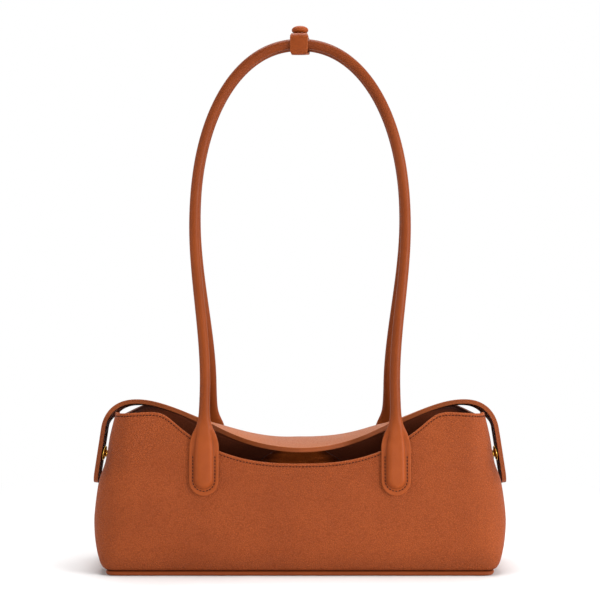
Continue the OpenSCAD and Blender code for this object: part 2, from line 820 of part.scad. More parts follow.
front_panel();
back_panel();
left_gusset();
right_gusset();
base_panel();
base_piping();
base_board();
floor_lining();
front_lining();
back_lining();
left_lining();
right_lining();
front_rim_facing();
back_rim_facing();
left_rim_facing();
right_rim_facing();
inner_pocket();
hinge_strip();
front_left_tab();
front_right_tab();
back_left_tab();
back_right_tab();
front_left_tab_pad();
front_right_tab_pad();
back_left_tab_pad();
back_right_tab_pad();
left_snap_stud();
right_snap_stud();
left_snap_washer();
right_snap_washer();
flap_top();
flap_underside();
hinge_leaf();
left_wing_top();
left_wing_underside();
right_wing_top();
right_wing_underside();
left_ear_top();
left_ear_underside();
left_snap_socket();
right_ear_top();
right_ear_underside();
right_snap_socket();
front_handle();
front_handle_core();
back_handle();
back_handle_core();
keeper_strap();
keeper_tab();
keeper_shank();
keeper_button();
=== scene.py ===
import math

import bmesh
import bpy
from mathutils import Matrix, Vector, noise


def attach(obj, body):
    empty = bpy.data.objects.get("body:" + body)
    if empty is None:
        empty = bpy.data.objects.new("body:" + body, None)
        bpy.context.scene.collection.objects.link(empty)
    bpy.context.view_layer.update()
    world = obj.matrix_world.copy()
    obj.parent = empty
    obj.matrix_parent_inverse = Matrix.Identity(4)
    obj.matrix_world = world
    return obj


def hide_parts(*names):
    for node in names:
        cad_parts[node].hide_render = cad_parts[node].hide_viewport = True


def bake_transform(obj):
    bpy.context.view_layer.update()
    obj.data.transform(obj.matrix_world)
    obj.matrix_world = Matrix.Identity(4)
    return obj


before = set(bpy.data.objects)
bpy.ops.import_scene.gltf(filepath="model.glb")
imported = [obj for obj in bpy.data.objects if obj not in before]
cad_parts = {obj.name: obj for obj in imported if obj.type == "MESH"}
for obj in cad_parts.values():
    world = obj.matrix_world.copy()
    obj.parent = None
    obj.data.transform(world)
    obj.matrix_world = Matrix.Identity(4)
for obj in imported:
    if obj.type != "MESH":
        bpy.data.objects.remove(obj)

for leftOver in ("Cube", "Light", "Camera"):  # the start-up scene's own objects
    if leftOver in bpy.data.objects:
        bpy.data.objects.remove(bpy.data.objects[leftOver])
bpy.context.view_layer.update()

mm = 0.001  # shapes are worked out in millimetres, as the bag's pattern is


def clamp(value, low=0.0, high=1.0):
    return max(low, min(high, value))


def ease(t):
    t = clamp(t)
    return t * t * (3 - 2 * t)


def mix(a, b, share):
    return a + (b - a) * share


def curveAt(stops, at):  # smooth line through (position, value) stops
    if at <= stops[0][0]:
        return stops[0][1]
    if at >= stops[-1][0]:
        return stops[-1][1]
    k = max(i for i in range(len(stops) - 1) if stops[i][0] <= at)

    def slope(i):
        low, high = max(0, i - 1), min(len(stops) - 1, i + 1)
        return (stops[high][1] - stops[low][1]) / (stops[high][0] - stops[low][0])

    (x0, y0), (x1, y1) = stops[k], stops[k + 1]
    wide = x1 - x0
    t = (at - x0) / wide
    return (y0 * (1 + 2 * t) * (1 - t) ** 2 + y1 * t * t * (3 - 2 * t)
            + wide * (slope(k) * t * (1 - t) ** 2 - slope(k + 1) * t * t * (1 - t)))


def ripple(x, y, z, size, seed=0.0):  # slow waves, from -1 to 1
    return noise.noise(Vector((x / size + seed, y / size - seed, z / size + 3.7)))


class Wire:  # a socket that takes part in sums
    def __init__(self, finish, socket):
        self.finish, self.socket = finish, socket

    def maths(self, operation, *values):
        return self.finish.node("Math", {"operation": operation}, dict(enumerate(values)))

    def __add__(self, other):
        return self.maths("ADD", self, other)

    __radd__ = __add__

    def __sub__(self, other):
        return self.maths("SUBTRACT", self, other)

    def __rsub__(self, other):
        return self.maths("SUBTRACT", other, self)

    def __mul__(self, other):
        return self.maths("MULTIPLY", self, other)

    __rmul__ = __mul__


class Finish:  # a material, or the world, whose nodes all come from node()
    def __init__(self, name, owner=None):
        self.material = owner or bpy.data.materials.new(name)
        self.material.use_nodes = True
        self.tree = self.material.node_tree
        self.tree.nodes.clear()

    def node(self, kind, settings=None, sockets=None, out=0):
        made = self.tree.nodes.new("ShaderNode" + kind)
        for key, value in (settings or {}).items():
            setattr(made, key, value)
        for key, value in (sockets or {}).items():
            if isinstance(value, Wire):
                self.tree.links.new(value.socket, made.inputs[key])
            else:
                made.inputs[key].default_value = value
        return Wire(self, made.outputs[out]) if made.outputs else None

    def blendColour(self, share, first, second):
        return self.node("Mix", {"data_type": "RGBA"}, {0: share, 6: first, 7: second}, out=2)

    def close(self, shader):
        self.node("OutputMaterial", sockets={"Surface": shader})
        return self.material


def colour(red, green, blue):  # 0-255 as seen on a screen
    def linear(value):
        value = value / 255
        return value / 12.92 if value <= 0.04045 else ((value + 0.055) / 1.055) ** 2.4
    return tuple(linear(v) for v in (red, green, blue)) + (1.0,)


def tint(shade, red=1.0, green=1.0, blue=1.0):
    return (shade[0] * red, shade[1] * green, shade[2] * blue, 1.0)


# shade against the tan, mm across one pebble, m of relief, how strongly the relief and the darker grain show,
# roughness, and a low shine because the studio round the bag is white
tan = colour(151, 71, 29)
leathers = {
    "pebbledLeather": {"shade": tan, "pebble": 1.3, "depth": 0.00035, "relief": 0.9, "rough": 0.5},
    # the flap's leather is the body's tan, paled and blued as a painted sheen
    "strapLeatherWithSheen": {"shade": tint(tan, 1.25, 1.66, 2.0), "pebble": 1.1, "depth": 0.0002, "relief": 0.4,
                     "rough": 0.42, "grainShare": 0.5},
    "smoothLeather": {"shade": tint(tan, 0.95, 0.95, 0.93), "pebble": 1.0, "depth": 0.0001, "relief": 0.15,
                      "rough": 0.38, "grainShare": 0.12, "shine": 0.1},
    # the piping is the body's tan, darkened as painted shade low on the bag
    "shadedPipingLeather": {"shade": tint(tan, 0.68, 0.68, 0.72), "pebble": 0.9, "depth": 0.00015, "relief": 0.35,
                      "rough": 0.45, "grainShare": 0.3},
    # the rim facing is darkened as painted shade for the unlit inside of the bag
    "shadowDarkFacingLeather": {"shade": tint(tan, 0.3, 0.26, 0.22), "pebble": 1.2, "depth": 0.0002, "relief": 0.4,
                      "rough": 0.6, "grainShare": 0.6},
    # the hinge strip's leather is the tan lightened, a painted light where it shows under the flap
    "creasedLeatherPaintedLight": {"shade": tint(tan, 2.0, 2.2, 1.8), "pebble": 1.5, "depth": 0.0003, "relief": 0.7,
                       "rough": 0.5, "grainShare": 0.7},
    # the suede side is made dark as painted shade under the flap
    "suedeSideShaded": {"shade": tint(tan, 0.35, 0.3, 0.26), "pebble": 0.9, "depth": 0.00015, "relief": 0.4,
                  "rough": 0.7, "grainShare": 0.6},
    "edgePaint": {"shade": tint(tan, 0.9, 0.92, 0.95), "pebble": 0.7, "depth": 0.0001, "relief": 0.3,
                  "rough": 0.42, "grainShare": 0.3},
    "strapEdge": {"shade": tint(tan, 0.74, 0.78, 0.84), "pebble": 0.7, "depth": 0.0001, "relief": 0.3,
                  "rough": 0.42, "grainShare": 0.3},
}


def leatherFinish(name, shade, pebble, depth, relief, rough, grainShare=1.0, shine=0.14):
    f = Finish(name)
    spot = f.node("TexCoord", out="Object")
    drift = f.node("TexNoise", None, {"Vector": spot, "Scale": 650 / pebble, "Detail": 1.0}, out="Color")
    bent = f.node("VectorMath", {"operation": "MULTIPLY_ADD"}, {0: drift, 1: (pebble * 0.0007,) * 3, 2: spot})
    cells = f.node("TexVoronoi", {"feature": "SMOOTH_F1"},
                   {"Vector": bent, "Scale": 1000 / pebble, "Smoothness": 0.3, "Randomness": 1.0})  # round tops
    valleys = f.node("TexVoronoi", {"feature": "DISTANCE_TO_EDGE"},
                     {"Vector": bent, "Scale": 1000 / pebble, "Randomness": 1.0})
    valley = f.node("MapRange", None, {"Value": valleys, "From Min": 0.0, "From Max": 0.22})
    fine = f.node("TexNoise", None, {"Vector": spot, "Scale": 1500.0, "Detail": 2.0})
    broad = f.node("TexNoise", None, {"Vector": spot, "Scale": 17.0, "Detail": 3.0, "Roughness": 0.55})
    middle = f.node("TexNoise", None, {"Vector": spot, "Scale": 160.0, "Detail": 3.0})
    wear = f.node("Attribute", {"attribute_name": "wear"}, out="Fac")  # rubbed pale
    # darker tone, and painted shade in seams, corners and under the flap
    toneAndShade = f.node("Attribute", {"attribute_name": "toneAndShade"}, out="Fac")  # darkened
    patchy = f.node("MapRange", None, {"Value": broad * 0.75 + middle * 0.25, "From Min": 0.34, "From Max": 0.66})
    deep = tint(shade, 0.88, 0.85, 0.82)
    pale = tint(shade, 1.1, 1.12, 1.14)
    worn = tint(shade, 1.3, 1.5, 1.7)
    base = f.blendColour(patchy, deep, pale)
    grain = (1 - valley) * 0.5 * grainShare + cells * 0.2 * grainShare
    base = f.blendColour(grain, base, tint(shade, 0.5, 0.42, 0.36))
    base = f.blendColour(wear, base, worn)
    # blends towards near black by that attribute: painted shade, and a darker tone on the handles and keeper
    base = f.blendColour(toneAndShade, base, tint(shade, 0.12, 0.08, 0.06))
    height = valley * 0.6 - cells * 0.8 + fine * 0.2
    bump = f.node("Bump", None, {"Strength": relief, "Distance": depth, "Height": height})
    dull = f.node("MapRange", None, {"Value": cells * 0.6 + broad * 0.4, "From Min": 0.2, "From Max": 0.6,
                                     "To Min": rough - 0.06, "To Max": rough + 0.1})
    return f.close(f.node("BsdfPrincipled", None, {"Base Color": base, "Roughness": dull, "Normal": bump,
                                                   "Specular IOR Level": shine}))


def clothFinish(name, shade, pitch):  # pitch is mm from one thread to the next
    f = Finish(name)
    spot = f.node("TexCoord", out="Object")
    warp = f.node("TexWave", {"bands_direction": "X"}, {"Vector": spot, "Scale": 314 / pitch, "Distortion": 0.4})
    weft = f.node("TexWave", {"bands_direction": "Z"}, {"Vector": spot, "Scale": 314 / pitch, "Distortion": 0.4})
    slubs = f.node("TexNoise", None, {"Vector": spot, "Scale": 90.0, "Detail": 3.0})
    weave = warp * 0.5 + weft * 0.5
    base = f.blendColour(weave * 0.6 + slubs * 0.4,
                         tint(shade, 0.75, 0.72, 0.7), tint(shade, 1.15, 1.15, 1.12))
    bump = f.node("Bump", None, {"Strength": 0.25, "Distance": 0.0002, "Height": weave})
    return f.close(f.node("BsdfPrincipled", None,
                          {"Base Color": base, "Roughness": 0.7 + slubs * 0.15, "Normal": bump,
                           "Sheen Weight": 0.2, "Specular IOR Level": 0.3}))


def threadFinish(name, shade):
    f = Finish(name)
    spot = f.node("TexCoord", out="Object")
    twist = f.node("TexWave", {"bands_direction": "DIAGONAL"},
                   {"Vector": spot, "Scale": 700.0, "Distortion": 0.5})
    base = f.blendColour(twist, tint(shade, 0.75, 0.7, 0.68), tint(shade, 1.15, 1.15, 1.15))
    bump = f.node("Bump", None, {"Strength": 0.3, "Distance": 0.0001, "Height": twist})
    return f.close(f.node("BsdfPrincipled", None,
                          {"Base Color": base, "Roughness": 0.55 + twist * 0.1, "Normal": bump,
                           "Specular IOR Level": 0.1}))


def brassFinish(name, shade):
    f = Finish(name)
    spot = f.node("TexCoord", out="Object")
    brushed = f.node("TexNoise", None, {"Vector": spot, "Scale": 900.0, "Detail": 2.0})
    cloudy = f.node("TexNoise", None, {"Vector": spot, "Scale": 220.0, "Detail": 2.0})
    base = f.blendColour(cloudy, tint(shade, 0.88, 0.84, 0.75), shade)
    bump = f.node("Bump", None, {"Strength": 0.1, "Distance": 0.00005, "Height": brushed})
    return f.close(f.node("BsdfPrincipled", None,
                          {"Base Color": base, "Metallic": 1.0, "Roughness": 0.16 + cloudy * 0.14,
                           "Normal": bump}))


def boardFinish(name, shade):
    f = Finish(name)
    spot = f.node("TexCoord", out="Object")
    fibre = f.node("TexNoise", None, {"Vector": spot, "Scale": 400.0, "Detail": 4.0})
    base = f.blendColour(fibre, tint(shade, 0.8, 0.8, 0.8), tint(shade, 1.15, 1.15, 1.15))
    bump = f.node("Bump", None, {"Strength": 0.2, "Distance": 0.0002, "Height": fibre})
    return f.close(f.node("BsdfPrincipled", None,
                          {"Base Color": base, "Roughness": 0.8 + fibre * 0.1, "Normal": bump}))


(pebbledLeather, strapLeatherWithSheen, smoothLeather, shadedPipingLeather, shadowDarkFacingLeather, creasedLeatherPaintedLight, suedeSideShaded,
 edgePaint, strapEdge) = [leatherFinish(name, **look) for name, look in leathers.items()]
liningCloth = clothFinish("liningCloth", colour(104, 66, 40), 0.55)
thread = threadFinish("stitchThread", colour(66, 28, 14))
brass = brassFinish("polishedBrass", colour(226, 178, 84))
greyBoard = boardFinish("baseBoard", colour(150, 146, 138))
print("finishes made")


def gridOf(across, along, place, wear=None, toneAndShade=None):  # a grid whose points go where place(u, v) says, in mm
    bm = bmesh.new()
    bmesh.ops.create_grid(bm, x_segments=across, y_segments=along, size=0.5)
    layers = [(bm.verts.layers.float.new("wear"), wear), (bm.verts.layers.float.new("toneAndShade"), toneAndShade)]
    for vert in bm.verts:
        u, v = vert.co.x + 0.5, vert.co.y + 0.5
        vert.co = Vector(place(u, v)) * mm
        for layer, amount in layers:
            vert[layer] = amount(u, v) if amount else 0.0
    bm.normal_update()
    return bm


def thicken(bm, thick, rounding=0.35, steps=2):  # inner wall, edge band of a second material, rounded edges
    count = len(bm.faces)
    bmesh.ops.solidify(bm, geom=bm.faces[:], thickness=thick * mm)
    bm.faces.ensure_lookup_table()
    for face in bm.faces[2 * count:]:
        face.material_index = 1
    bm.normal_update()
    sharp = [e for e in bm.edges if len(e.link_faces) == 2 and e.calc_face_angle(0) > 0.9]
    bmesh.ops.bevel(bm, geom=sharp, offset=rounding * mm, segments=steps, profile=0.5, affect="EDGES",
                    material=-1, clamp_overlap=True)
    return bm


def finishPiece(name, bm, finishes, body=None, nodes=(), sharpAt=1.0):
    mesh = bpy.data.meshes.new(name)
    bm.normal_update()
    for edge in bm.edges:
        edge.smooth = len(edge.link_faces) == 2 and edge.calc_face_angle(0) < sharpAt
    for face in bm.faces:
        face.smooth = True
    bm.to_mesh(mesh)
    bm.free()
    for finish in finishes:
        mesh.materials.append(finish)
    piece = bpy.data.objects.new(name, mesh)
    bpy.context.scene.collection.objects.link(piece)
    if body:
        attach(piece, body)
    if nodes:
        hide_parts(*nodes)
    return piece


def runLengths(points):  # how far along the line each point lies
    lengths = [0.0]
    for a, b in zip(points, points[1:]):
        lengths.append(lengths[-1] + math.dist(a, b))
    return lengths


def runSpot(lengths, at):  # the stretch that holds a distance, and the share of it that is passed
    k = min(len(lengths) - 2, max(i for i in range(len(lengths)) if lengths[i] <= at + 1e-9))
    return k, (at - lengths[k]) / (lengths[k + 1] - lengths[k])


stitch = {"pitch": 2.5, "length": 1.9, "width": 0.8, "height": 0.5, "slant": 0.09, "ends": 0.5}


def sewLine(name, line):  # line is a list of (point, normal); stitches lie one pitch apart in its middle
    lengths = runLengths([point for point, _ in line])
    count = max(1, int((lengths[-1] - 2 * stitch["ends"]) / stitch["pitch"]))
    start = (lengths[-1] - count * stitch["pitch"]) / 2
    sized = Matrix.Diagonal((stitch["length"] / 2, stitch["width"] / 2, stitch["height"] / 2, 1))
    shaped = Matrix.Rotation(stitch["slant"], 4, "Z") @ sized @ Matrix.Rotation(math.pi / 2, 4, "Y")
    bm = bmesh.new()
    for n in range(count + 1):
        k, share = runSpot(lengths, start + n * stitch["pitch"])
        (a, upA), (b, upB) = line[k], line[k + 1]
        way, up = (b - a).normalized(), upA.lerp(upB, share).normalized()
        side = up.cross(way).normalized()
        turned = Matrix((way, side, way.cross(side))).transposed().to_4x4()
        made = bmesh.ops.create_uvsphere(bm, u_segments=6, v_segments=5, radius=1.0)
        place = Matrix.Translation(a.lerp(b, share)) @ turned @ shaped
        bmesh.ops.transform(bm, matrix=Matrix.Scale(mm, 4) @ place, verts=made["verts"])
    bmesh.ops.recalc_face_normals(bm, faces=bm.faces[:])
    finishPiece(name, bm, [thread], "bag", sharpAt=math.pi)


shell = {
    "length": 316, "depth": 101, "longestAt": 39, "deepestAt": 45,  # the last two are heights above the table
    "post": 123.4, "postEdge": 121.4, "dip": 38.6, "frontReach": 103, "backReach": 109, "backRise": 1.5,
    "backDrop": 6, "backDropFrom": 126,
    "base": 3.5, "seam": 25, "leather": 1.6, "lining": 0.8,  # seam is how far the side seams lie from the middle
    "belly": 1.1, "waves": 0.5, "waveSize": 46, "seamRoll": 0.75, "seamReach": 1.4, "baseRoll": 0.7,
    "pinch": 2.2, "pinchLow": 68, "pinchFrom": 128, "earShadowStrength": 0.45,  # the corners sink beside the ears, and take a painted shadow of the ears
    "rimStitch": 2.3, "stitchDent": 0.28, "facingFrom": 0.82,
}
inside = shell["leather"] + shell["lining"]


def lowShare(z, top):
    return max(0, 1 - (z - shell["base"]) / (top - shell["base"]))


def highShare(z, low):
    return max(0, (z - low) / (shell["post"] - 1.4 - low))


def halfLength(z):  # the walls draw in towards the base, turn under at its seam, and draw in towards the rim
    low, high = lowShare(z, shell["longestAt"]), highShare(z, shell["longestAt"])
    return shell["length"] / 2 - 8.2 * low ** 2.2 - 3.8 * low ** 22 - 15.8 * high ** 1.4


def halfDepth(z):
    low, high = lowShare(z, shell["deepestAt"]), highShare(z, shell["deepestAt"])
    return shell["depth"] / 2 - 2.6 * low ** 2.2 - 2.4 * low ** 22 - 5.5 * high ** 1.5


def cornerSize(z):
    return 34 - 18 * lowShare(z, shell["deepestAt"]) ** 3 - 12 * highShare(z, shell["deepestAt"])


def cornerPower(z):  # 2 is a round corner, and more is squarer
    return 2.2 + 2.8 * lowShare(z, shell["deepestAt"]) ** 3 + 0.4 * highShare(z, shell["deepestAt"])


def rimRise(x, reach, power):  # share of the way up from the dip, with a short round where it ends
    t = (abs(x) / reach) ** power
    return t / (1 + t ** 12) ** (1 / 12)


def postTop(x):  # the corner posts slope down a little towards the ends
    return shell["post"] - 1.9 * clamp((abs(x) - 112) / 30)


def frontRim(x):
    return postTop(x) - shell["dip"] * (1 - rimRise(x, shell["frontReach"], 2.6))


def backRim(x):
    return (postTop(x) - (shell["dip"] - shell["backRise"]) * (1 - rimRise(x, shell["backReach"], 2.05))
            - shell["backDrop"] * clamp((abs(x) - shell["backDropFrom"]) / 16.3) ** 1.2)


def sideRim(y):  # falls from the front panel's end to the back panel's, with a slight dip
    t = (y + shell["seam"]) / (2 * shell["seam"])
    return 121.5 - shell["backDrop"] * t - 4.8 * t * (1 - t)


def softPush(x, y, z):  # how far the leather swells or sinks from the pattern
    quiet = clamp((z - 4) / 12) * clamp((125 - z) / 20)
    belly = shell["belly"] * max(0, 1 - (x / 135) ** 2) * math.sin(math.pi * clamp((z - 3.5) / 86))
    waves = shell["waves"] * ripple(x, y * 1.6, z * 1.7, shell["waveSize"]) * quiet
    if abs(x) > shell["pinchFrom"]:
        calm = clamp((abs(y) - 8) / 14)
        turned = ease((abs(x) - shell["pinchFrom"]) / 13)
        sunk = ease((z - shell["pinchLow"]) / 17) * (1 - 0.48 * ease((z - 88) / 18))
        waves = waves * mix(1, calm * 0.5, turned) - shell["pinch"] * ease(calm) * sunk * turned
    return (belly if abs(y) > 40 else 0) + waves


def earShadow(x, z):  # painted shadow cast by the closed ears on the corners
    return shell["earShadowStrength"] * ease((abs(x) - 140) / 10) * ease((z - 64) / 20) * (1 - ease((z - 110) / 8))


cornerCells, runCells = 30, 112
panelColumns = 2 * cornerCells + runCells


def planSpot(u, z, inward):  # u runs from the left seam round the front to the right seam
    cell = u * panelColumns
    size, power, deep, long = cornerSize(z), cornerPower(z), halfDepth(z), halfLength(z)
    if cornerCells <= cell <= cornerCells + runCells:
        return (long - size) * (2 * (cell - cornerCells) / runCells - 1), -(deep - inward)
    side = -1 if cell < cornerCells else 1
    near = (cell if side < 0 else panelColumns - cell) / cornerCells
    turn = math.radians(90 * max(0, near) ** 1.6)
    x = long - size + (size - inward) * max(0, math.cos(turn)) ** (2 / power)
    y = shell["seam"] + (deep - shell["seam"] - inward) * max(0, math.sin(turn)) ** (2 / power)
    return side * x, -y


def panelTop(u, back):
    x = planSpot(u, shell["postEdge"], 0)[0]
    return backRim(x) if back else frontRim(x)


def seamRolled(fromSeam, z):  # the leather turns in where it meets the next piece
    near = clamp(1 - fromSeam / shell["seamReach"])
    low = clamp(1 - (z - shell["base"]) / 1.3)
    return shell["seamRoll"] * near ** 2 + shell["baseRoll"] * low ** 2


def wallSpot(u, z, inward, back, dents=0.0):
    x, y = planSpot(u, z, 0)
    push = softPush(-x if back else x, -y if back else y, z)
    x, y = planSpot(u, z, inward - push + seamRolled(abs(y) - shell["seam"], z) + dents)
    return (-x, -y, z) if back else (x, y, z)


def sideSpot(v, z, inward, dents=0.0):  # v from -1 to 1 across the right gusset
    y = shell["seam"] * math.sin(math.pi / 2 * v)
    fold = 0.5 * math.cos(math.pi / 2 * v) * clamp((60 - z) / 40) * clamp((z - 8) / 20)
    push = softPush(halfLength(z), y, z) - fold
    return halfLength(z) - inward + push - seamRolled(shell["seam"] - abs(y), z) - dents, y, z


def rowHeight(v, top):  # rows lie closer at the base seam and at the rim
    low, high = shell["base"] + 3, top - 5
    if v < 0.12:
        return shell["base"] + 3 * v / 0.12
    if v < 0.7:
        return low + (high - low) * (v - 0.12) / 0.58
    return high + 5 * (v - 0.7) / 0.3


outer = {"inward": 0, "thick": shell["leather"], "finishes": [pebbledLeather, edgePaint],
         "slot": "pebbled_leather", "panelRows": 78, "gussetRows": 70, "dent": 1}
# the facing's near-black leather is painted shade
facing = {"inward": shell["leather"], "thick": shell["lining"], "finishes": [shadowDarkFacingLeather, edgePaint],
          "slot": "pebbled_leather", "panelRows": 34, "gussetRows": 30, "dent": -1}
lining = {"inward": shell["leather"], "thick": shell["lining"], "finishes": [liningCloth, liningCloth],
          "slot": "lining", "panelRows": 30, "gussetRows": 26, "dent": 0}


def layerHeight(v, top, layer):  # the leather runs the whole height, and the facing meets the lining below the rim
    split = shell["base"] + (top - shell["base"]) * shell["facingFrom"]
    if layer is outer:
        return rowHeight(v, top)
    return mix(split, top, v) if layer is facing else mix(shell["base"], split, v)


def layerDent(below, layer):  # the rim's stitches draw the outer leather in and the facing out
    return layer["dent"] * shell["stitchDent"] * math.exp(-((below - shell["rimStitch"]) / 0.5) ** 2)


def panelSheet(name, node, back, layer):
    def place(u, v):
        top = panelTop(u, back)
        z = layerHeight(v, top, layer)
        return wallSpot(u, z, layer["inward"], back, layerDent(top - z, layer))

    def wear(u, v):
        top = panelTop(u, back)
        return 0.5 * math.exp(-((top - rowHeight(v, top)) / 0.7) ** 2)

    # darker tone and painted shade on the panels
    def toneAndShade(u, v):
        top = panelTop(u, back)
        z = layerHeight(v, top, layer)
        x, above = abs(planSpot(u, z, 0)[0]), z - shell["base"]
        # a dark base seam, with painted shade over the lowest centimetre or so
        baseSeamAndShade = 0.8 * math.exp(-(above / 0.8) ** 2) + 0.22 * math.exp(-(above / 11) ** 2)
        # painted shade on the back rim by the corners, under the strap
        rimShade = 0.85 * ease((x - 106) / 10) * ease((z - top + 8) / 6) if back else 0
        return clamp(baseSeamAndShade + earShadow(x, z) + rimShade)

    bm = gridOf(panelColumns, layer["panelRows"], place, wear if layer is outer else None, toneAndShade)
    return finishPiece(name, thicken(bm, layer["thick"]), layer["finishes"], "bag", [node])


def gussetSheet(name, node, side, layer):
    def place(u, v):
        across = side * (2 * u - 1)
        top = sideRim(shell["seam"] * math.sin(math.pi / 2 * across))
        z = layerHeight(v, top, layer)
        x, y, z = sideSpot(across, z, layer["inward"], layerDent(top - z, layer))
        return side * x, y, z

    # a fainter painted shadow of the ears on the gussets
    def toneAndShade(u, v):
        z = rowHeight(v, 120)
        return 0.35 * earShadow(halfLength(z), z)

    bm = gridOf(36, layer["gussetRows"], place, toneAndShade=toneAndShade if layer is outer else None)
    return finishPiece(name, thicken(bm, layer["thick"]), layer["finishes"], "bag", [node])


for back, word in ((False, "front"), (True, "back")):
    panelSheet(word + "PanelLeather", word + "_panel", back, outer)
    panelSheet(word + "RimFacing", word + "_rim_facing", back, facing)
    cloth = panelSheet(word + "Lining", word + "_lining", back, lining)
for side, word in ((-1, "left"), (1, "right")):
    gussetSheet(word + "GussetLeather", word + "_gusset", side, outer)
    gussetSheet(word + "RimFacing", word + "_rim_facing", side, facing)
    cloth = gussetSheet(word + "Lining", word + "_lining", side, lining)


def panelRimLine(back):
    line = []
    for k in range(panelColumns * 2 + 1):
        u = k / (panelColumns * 2)
        z = panelTop(u, back) - shell["rimStitch"]
        here, out = Vector(wallSpot(u, z, 0.1, back)), Vector(wallSpot(u, z, -0.9, back))
        line.append((here, (out - here).normalized()))
    return line


def gussetRimLine(side):
    line = []
    for k in range(61):
        v = (k / 30 - 1) * 0.97
        z = sideRim(shell["seam"] * math.sin(math.pi / 2 * v)) - shell["rimStitch"]
        x, y, z = sideSpot(v, z, 0.1)
        line.append((Vector((side * x, y, z)), Vector((side, 0, 0.15)).normalized()))
    return line


for back, word in ((False, "front"), (True, "back")):
    sewLine(word + "RimStitches", panelRimLine(back))
for side, word in ((-1, "left"), (1, "right")):
    sewLine(word + "RimStitches", gussetRimLine(side))
print("shell made")


piping = {"reach": 1.5, "foot": 0.15}


def outlineSpot(t, inward):  # t once round the base outline, from the left front seam
    z = shell["base"]
    share = t % 1 * 2
    back = share >= 1
    share = share % 1
    if share < 0.9:
        x, y = planSpot(share / 0.9, z, inward)
    else:
        x, y = halfLength(z) - inward, shell["seam"] * (2 * (share - 0.9) / 0.1 - 1)
    return (-x, -y) if back else (x, y)


def pipingPlace(u, v):
    turn = math.tau * v
    middle, half = (shell["base"] + piping["foot"]) / 2, (shell["base"] - piping["foot"]) / 2
    if v <= 0.5:  # round outside
        inward, z = -piping["reach"] * math.sin(turn), middle - half * math.cos(turn)
    else:  # flat inside
        inward = shell["leather"] * min(1, 3 * (1 - abs(4 * v - 3)))
        z = middle + half * math.cos(turn - math.pi)
    x, y = outlineSpot(u, inward)
    return x, y, z


def pipingContactShade(u, v):  # painted shade where the cord meets the panels and the floor
    return 0.75 * math.exp(-(min(v, abs(v - 0.5)) / 0.07) ** 2)


# the cord's darker leather is painted shade
pipe = gridOf(420, 24, pipingPlace, toneAndShade=pipingContactShade)
bmesh.ops.remove_doubles(pipe, verts=pipe.verts[:], dist=0.00001)
bmesh.ops.recalc_face_normals(pipe, faces=pipe.faces[:])
finishPiece("basePiping", pipe, [shadedPipingLeather], "bag", ["base_piping"])
for node, finish in (("base_panel", pebbledLeather), ("base_board", greyBoard), ("floor_lining", liningCloth)):
    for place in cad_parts[node].material_slots:
        place.material = finish
print("base made")


pocket = {"width": 120, "low": 15.5, "top": 56, "stand": 8, "gap": 0.9, "sheet": 0.8, "sag": 1.4, "hem": 7}


def pocketPlace(u, v):  # sewn down at its sides and foot, and standing off the lining between them
    s = 2 * u - 1
    z = mix(pocket["low"], pocket["top"], v) - pocket["sag"] * (1 - s * s) * v ** 3
    stand = pocket["stand"] * (1 - abs(s) ** 6) * min(1, 3 * v) * (0.92 + 0.08 * math.cos(3 * s))
    hem = 0.35 * ease((z - (pocket["top"] - pocket["hem"] - 1)) / 0.8)
    x = s * pocket["width"] / 2
    push = softPush(x, halfDepth(z), z) * 0.6
    return x, halfDepth(z) - inside - stand - pocket["gap"] - hem + push * (1 - min(1, stand)), z


cloth = finishPiece("innerPocket", thicken(gridOf(90, 50, pocketPlace), pocket["sheet"], 0.2),
                    [liningCloth, liningCloth], "bag", ["inner_pocket"])
hemAt = 1 - pocket["hem"] / (pocket["top"] - pocket["low"])
hemLine = [Vector(pocketPlace(k / 60, hemAt)) - Vector((0, 0.1, 0)) for k in range(1, 60)]
sewLine("pocketStitches", [(spot, Vector((0, -1, 0))) for spot in hemLine])
print("pocket made")


flap = {
    "thick": 3.3, "height": 96.1, "shoulder": 130.4, "shoulderX": 127.7, "shoulderDown": 30, "shoulderPower": 2.3,
    "earTurn": 78.1, "earStart": (155.078, 108.0), "earLean": 8.77, "earLength": 44.1, "earStraight": 0.75,
    "strapHalf": 10.5, "leafHalf": 42.5, "leafReach": 68,
    "crown": 1.6, "waves": 0.35, "waveSize": 30, "curl": 3.0,  # curl is how far the back edge turns down
    "wingCut": 60, "earCut": 139,  # where the middle, the wings and the ears part, between their bends
}
earLean = math.radians(flap["earLean"])
earWay, earOut = (math.sin(earLean), -math.cos(earLean)), (math.cos(earLean), math.sin(earLean))


def sagHeight(x):
    rise = ease((min(1, abs(x) / flap["shoulderX"])) ** 1.25)
    return flap["height"] + (flap["shoulder"] - flap["height"]) * rise


def leafHalf(x):
    wide = max(0, 1 - min(1, abs(x) / flap["leafReach"]) ** 1.35) ** 0.85
    return flap["strapHalf"] + (flap["leafHalf"] - flap["strapHalf"]) * wide


def flapSpot(s):  # 0-1 sag, 1-2 shoulder, 2-3 ear: point in the side plane and half width
    if s <= 1:
        x = s * flap["shoulderX"]
        return x, sagHeight(x), leafHalf(x)
    startX, startZ = flap["earStart"]
    if s <= 2:
        turn, power = math.radians(flap["earTurn"] * (s - 1)), 2 / flap["shoulderPower"]
        out = (math.sin(turn) / math.sin(math.radians(flap["earTurn"]))) ** power
        fall = flap["shoulderDown"] * (1 - math.cos(turn) ** power)
        return mix(flap["shoulderX"], startX, out), flap["shoulder"] - fall, flap["strapHalf"]
    straight, share = flap["earLength"] - flap["strapHalf"], flap["earStraight"]
    t = s - 2
    if t < share:
        at, half = straight * t / share, flap["strapHalf"]
    else:  # the ear's round end
        turn = math.radians(90 * (t - share) / (1 - share))
        at = straight + flap["strapHalf"] * math.sin(turn)
        half = max(0.02, flap["strapHalf"] * math.cos(turn))
    return startX + earWay[0] * at, startZ + earWay[1] * at, half


